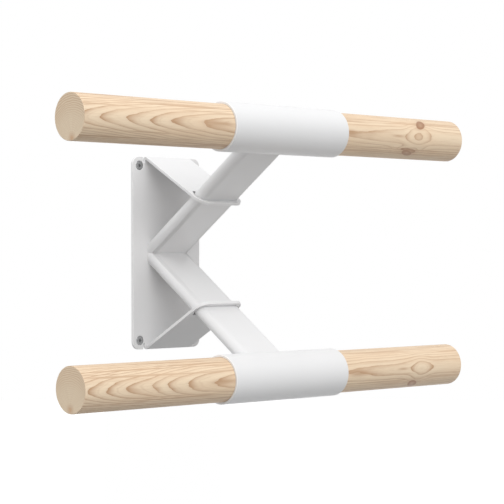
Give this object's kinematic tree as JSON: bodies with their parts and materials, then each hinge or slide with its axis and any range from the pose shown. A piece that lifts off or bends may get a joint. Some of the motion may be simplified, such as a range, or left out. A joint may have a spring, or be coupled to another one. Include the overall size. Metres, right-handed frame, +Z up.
{
  "type": "wall-mounted ballet barre",
  "caption": "Wall-mounted double ballet barre: round pine bars in white steel sleeves on mitred oval arms that pass through a folded, slotted wall bracket.",
  "frame": {"origin": "middle of the wall bracket's back face, on the wall, at the centre of its four screws", "axes": "+X along the bars to the right as seen from the room, +Y into the wall, +Z up"},
  "size_m": [0.5, 0.2353, 0.2816],
  "materials": {
    "white_powder_coat": "satin white powder coat on steel",
    "pine": "clear satin lacquer on planed pine",
    "zinc_screws": "dull zinc plate"
  },
  "bodies": {
    "root": {"wall_bracket": "white_powder_coat", "upper_arm": "white_powder_coat", "lower_arm": "white_powder_coat", "upper_sleeve": "white_powder_coat", "lower_sleeve": "white_powder_coat", "upper_bar": "pine", "lower_bar": "pine", "wall_screw_top_left": "zinc_screws", "wall_screw_top_right": "zinc_screws", "wall_screw_bottom_left": "zinc_screws", "wall_screw_bottom_right": "zinc_screws", "bar_screw_upper_left": "zinc_screws", "bar_screw_upper_right": "zinc_screws", "bar_screw_lower_left": "zinc_screws", "bar_screw_lower_right": "zinc_screws"}
  },
  "joints": []
}
